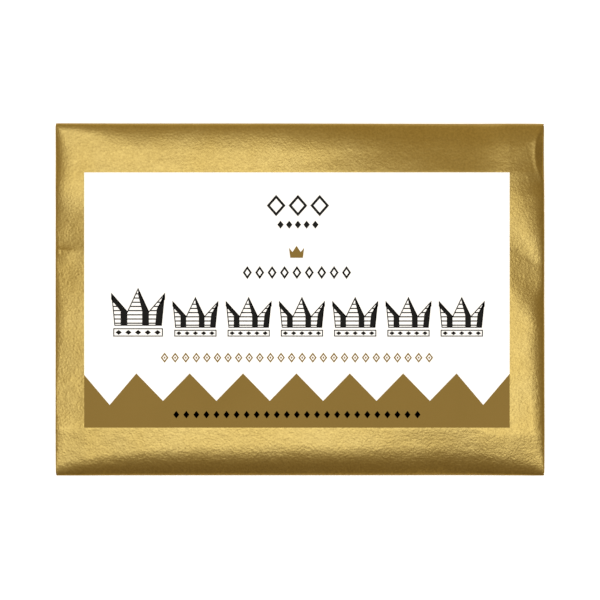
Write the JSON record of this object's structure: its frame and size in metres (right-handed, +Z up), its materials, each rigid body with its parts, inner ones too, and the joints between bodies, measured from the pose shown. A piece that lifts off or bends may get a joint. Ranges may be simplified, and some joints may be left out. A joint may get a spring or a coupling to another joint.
{
  "type": "wrapped pack of paper crowns",
  "caption": "Flat gift-wrapped pack of folded tissue paper party crowns in gold metallic paper, with soft rolled edges, parcel folds behind and a rectangular card label glued on the front.",
  "frame": {"origin": "middle of the pack's footprint, on the surface that it lies on", "axes": "+X along the pack's long side, to the right of the label; +Y from the label's foot to its head; +Z up, out of the label"},
  "size_m": [0.1466, 0.1054, 0.0113],
  "materials": {
    "gold_paper": "satin metallic gold",
    "label_card": "smooth uncoated white"
  },
  "bodies": {
    "root": {"wrapped_pack": "gold_paper", "label": "label_card"}
  },
  "joints": []
}
